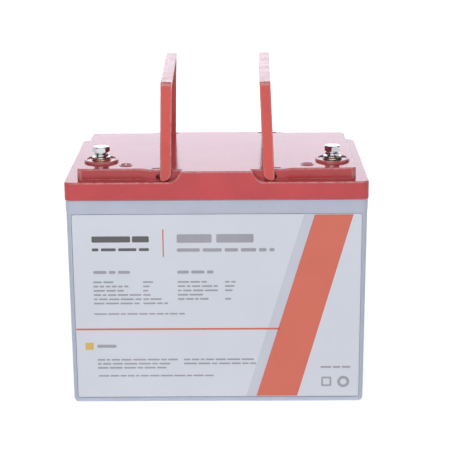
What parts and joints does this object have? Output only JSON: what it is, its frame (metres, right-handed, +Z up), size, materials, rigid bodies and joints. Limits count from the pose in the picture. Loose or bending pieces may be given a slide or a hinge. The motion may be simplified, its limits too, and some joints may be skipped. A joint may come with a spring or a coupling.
{
  "type": "deep cycle battery",
  "caption": "Upright box battery with a raised-plate lid, two bolt terminals in sealed collars and folding U-shaped carry handles that lie down round the plate.",
  "frame": {"origin": "centre of the base, on the surface the battery stands on", "axes": "+Z up, +X along the long side towards the negative terminal, -Y towards the labelled front"},
  "size_m": [0.26, 0.168, 0.2876],
  "materials": {
    "lid_red": "glossy moulded ABS, bright red",
    "handle_red": "satin moulded polypropylene, bright red",
    "case_grey": "satin moulded ABS, light blue-grey",
    "label_film": "glossy printed film, pale grey with orange-red bands",
    "plated_steel": "bright plated",
    "brass_insert": "turned",
    "seal_red": "glossy cast epoxy, red",
    "seal_black": "glossy cast epoxy, black",
    "cell_film": "blue film over a drawn aluminium can",
    "epoxy_board": "glass-epoxy sheet, natural",
    "tinned_copper": "tinned copper",
    "strap_steel": "brushed",
    "foam": "closed-cell foam, black",
    "aluminium": "extruded, clear anodised",
    "circuit_board": "green solder mask",
    "white_nylon": "moulded, natural white",
    "cable_red": "silicone, red",
    "cable_black": "silicone, black"
  },
  "bodies": {
    "battery": {"balance_harness": "cable_black", "balance_socket": "white_nylon", "base_pad": "foam", "bms_board": "circuit_board", "bms_heatsink": "aluminium", "busbar_1": "tinned_copper", "busbar_2": "tinned_copper", "busbar_3": "tinned_copper", "case": "case_grey", "cell_1": "cell_film", "cell_2": "cell_film", "cell_3": "cell_film", "cell_4": "cell_film", "cell_nut_1_front": "plated_steel", "cell_nut_1_rear": "plated_steel", "cell_nut_2_front": "plated_steel", "cell_nut_2_rear": "plated_steel", "cell_nut_3_front": "plated_steel", "cell_nut_3_rear": "plated_steel", "cell_nut_4_front": "plated_steel", "cell_nut_4_rear": "plated_steel", "cell_separator_1": "epoxy_board", "cell_separator_2": "epoxy_board", "cell_separator_3": "epoxy_board", "end_plate_left": "epoxy_board", "end_plate_right": "epoxy_board", "flat_washer_negative": "plated_steel", "flat_washer_positive": "plated_steel", "foam_strip_front": "foam", "foam_strip_rear": "foam", "front_label": "label_film", "insulating_board": "epoxy_board", "lid": "lid_red", "lug_bms_input": "tinned_copper", "lug_bms_output": "tinned_copper", "lug_pack_negative": "tinned_copper", "lug_pack_positive": "tinned_copper", "lug_terminal_negative": "tinned_copper", "lug_terminal_positive": "tinned_copper", "negative_lead": "cable_black", "pack_negative_lead": "cable_black", "pack_strap_lower": "strap_steel", "pack_strap_upper": "strap_steel", "positive_lead": "cable_red", "side_foam_left": "foam", "side_foam_right": "foam", "spring_washer_negative": "plated_steel", "spring_washer_positive": "plated_steel", "terminal_bolt_negative": "plated_steel", "terminal_bolt_positive": "plated_steel", "terminal_insert_negative": "brass_insert", "terminal_insert_positive": "brass_insert", "terminal_nut_negative": "plated_steel", "terminal_nut_positive": "plated_steel", "terminal_seal_negative": "seal_black", "terminal_seal_positive": "seal_red"},
    "handle_left": {"handle_left": "handle_red"},
    "handle_right": {"handle_right": "handle_red"}
  },
  "joints": [
    {"name": "handle_left_hinge", "type": "hinge", "parent": "battery", "child": "handle_left", "pos_m": [-0.0463, 0, 0.2052], "axis": [0.014, -0.9999, 0], "range_deg": [-26, 91.3]},
    {"name": "handle_right_hinge", "type": "hinge", "parent": "battery", "child": "handle_right", "pos_m": [0.0479, 0, 0.2052], "axis": [0.014, 0.9999, 0], "range_deg": [-26, 92.5]}
  ]
}
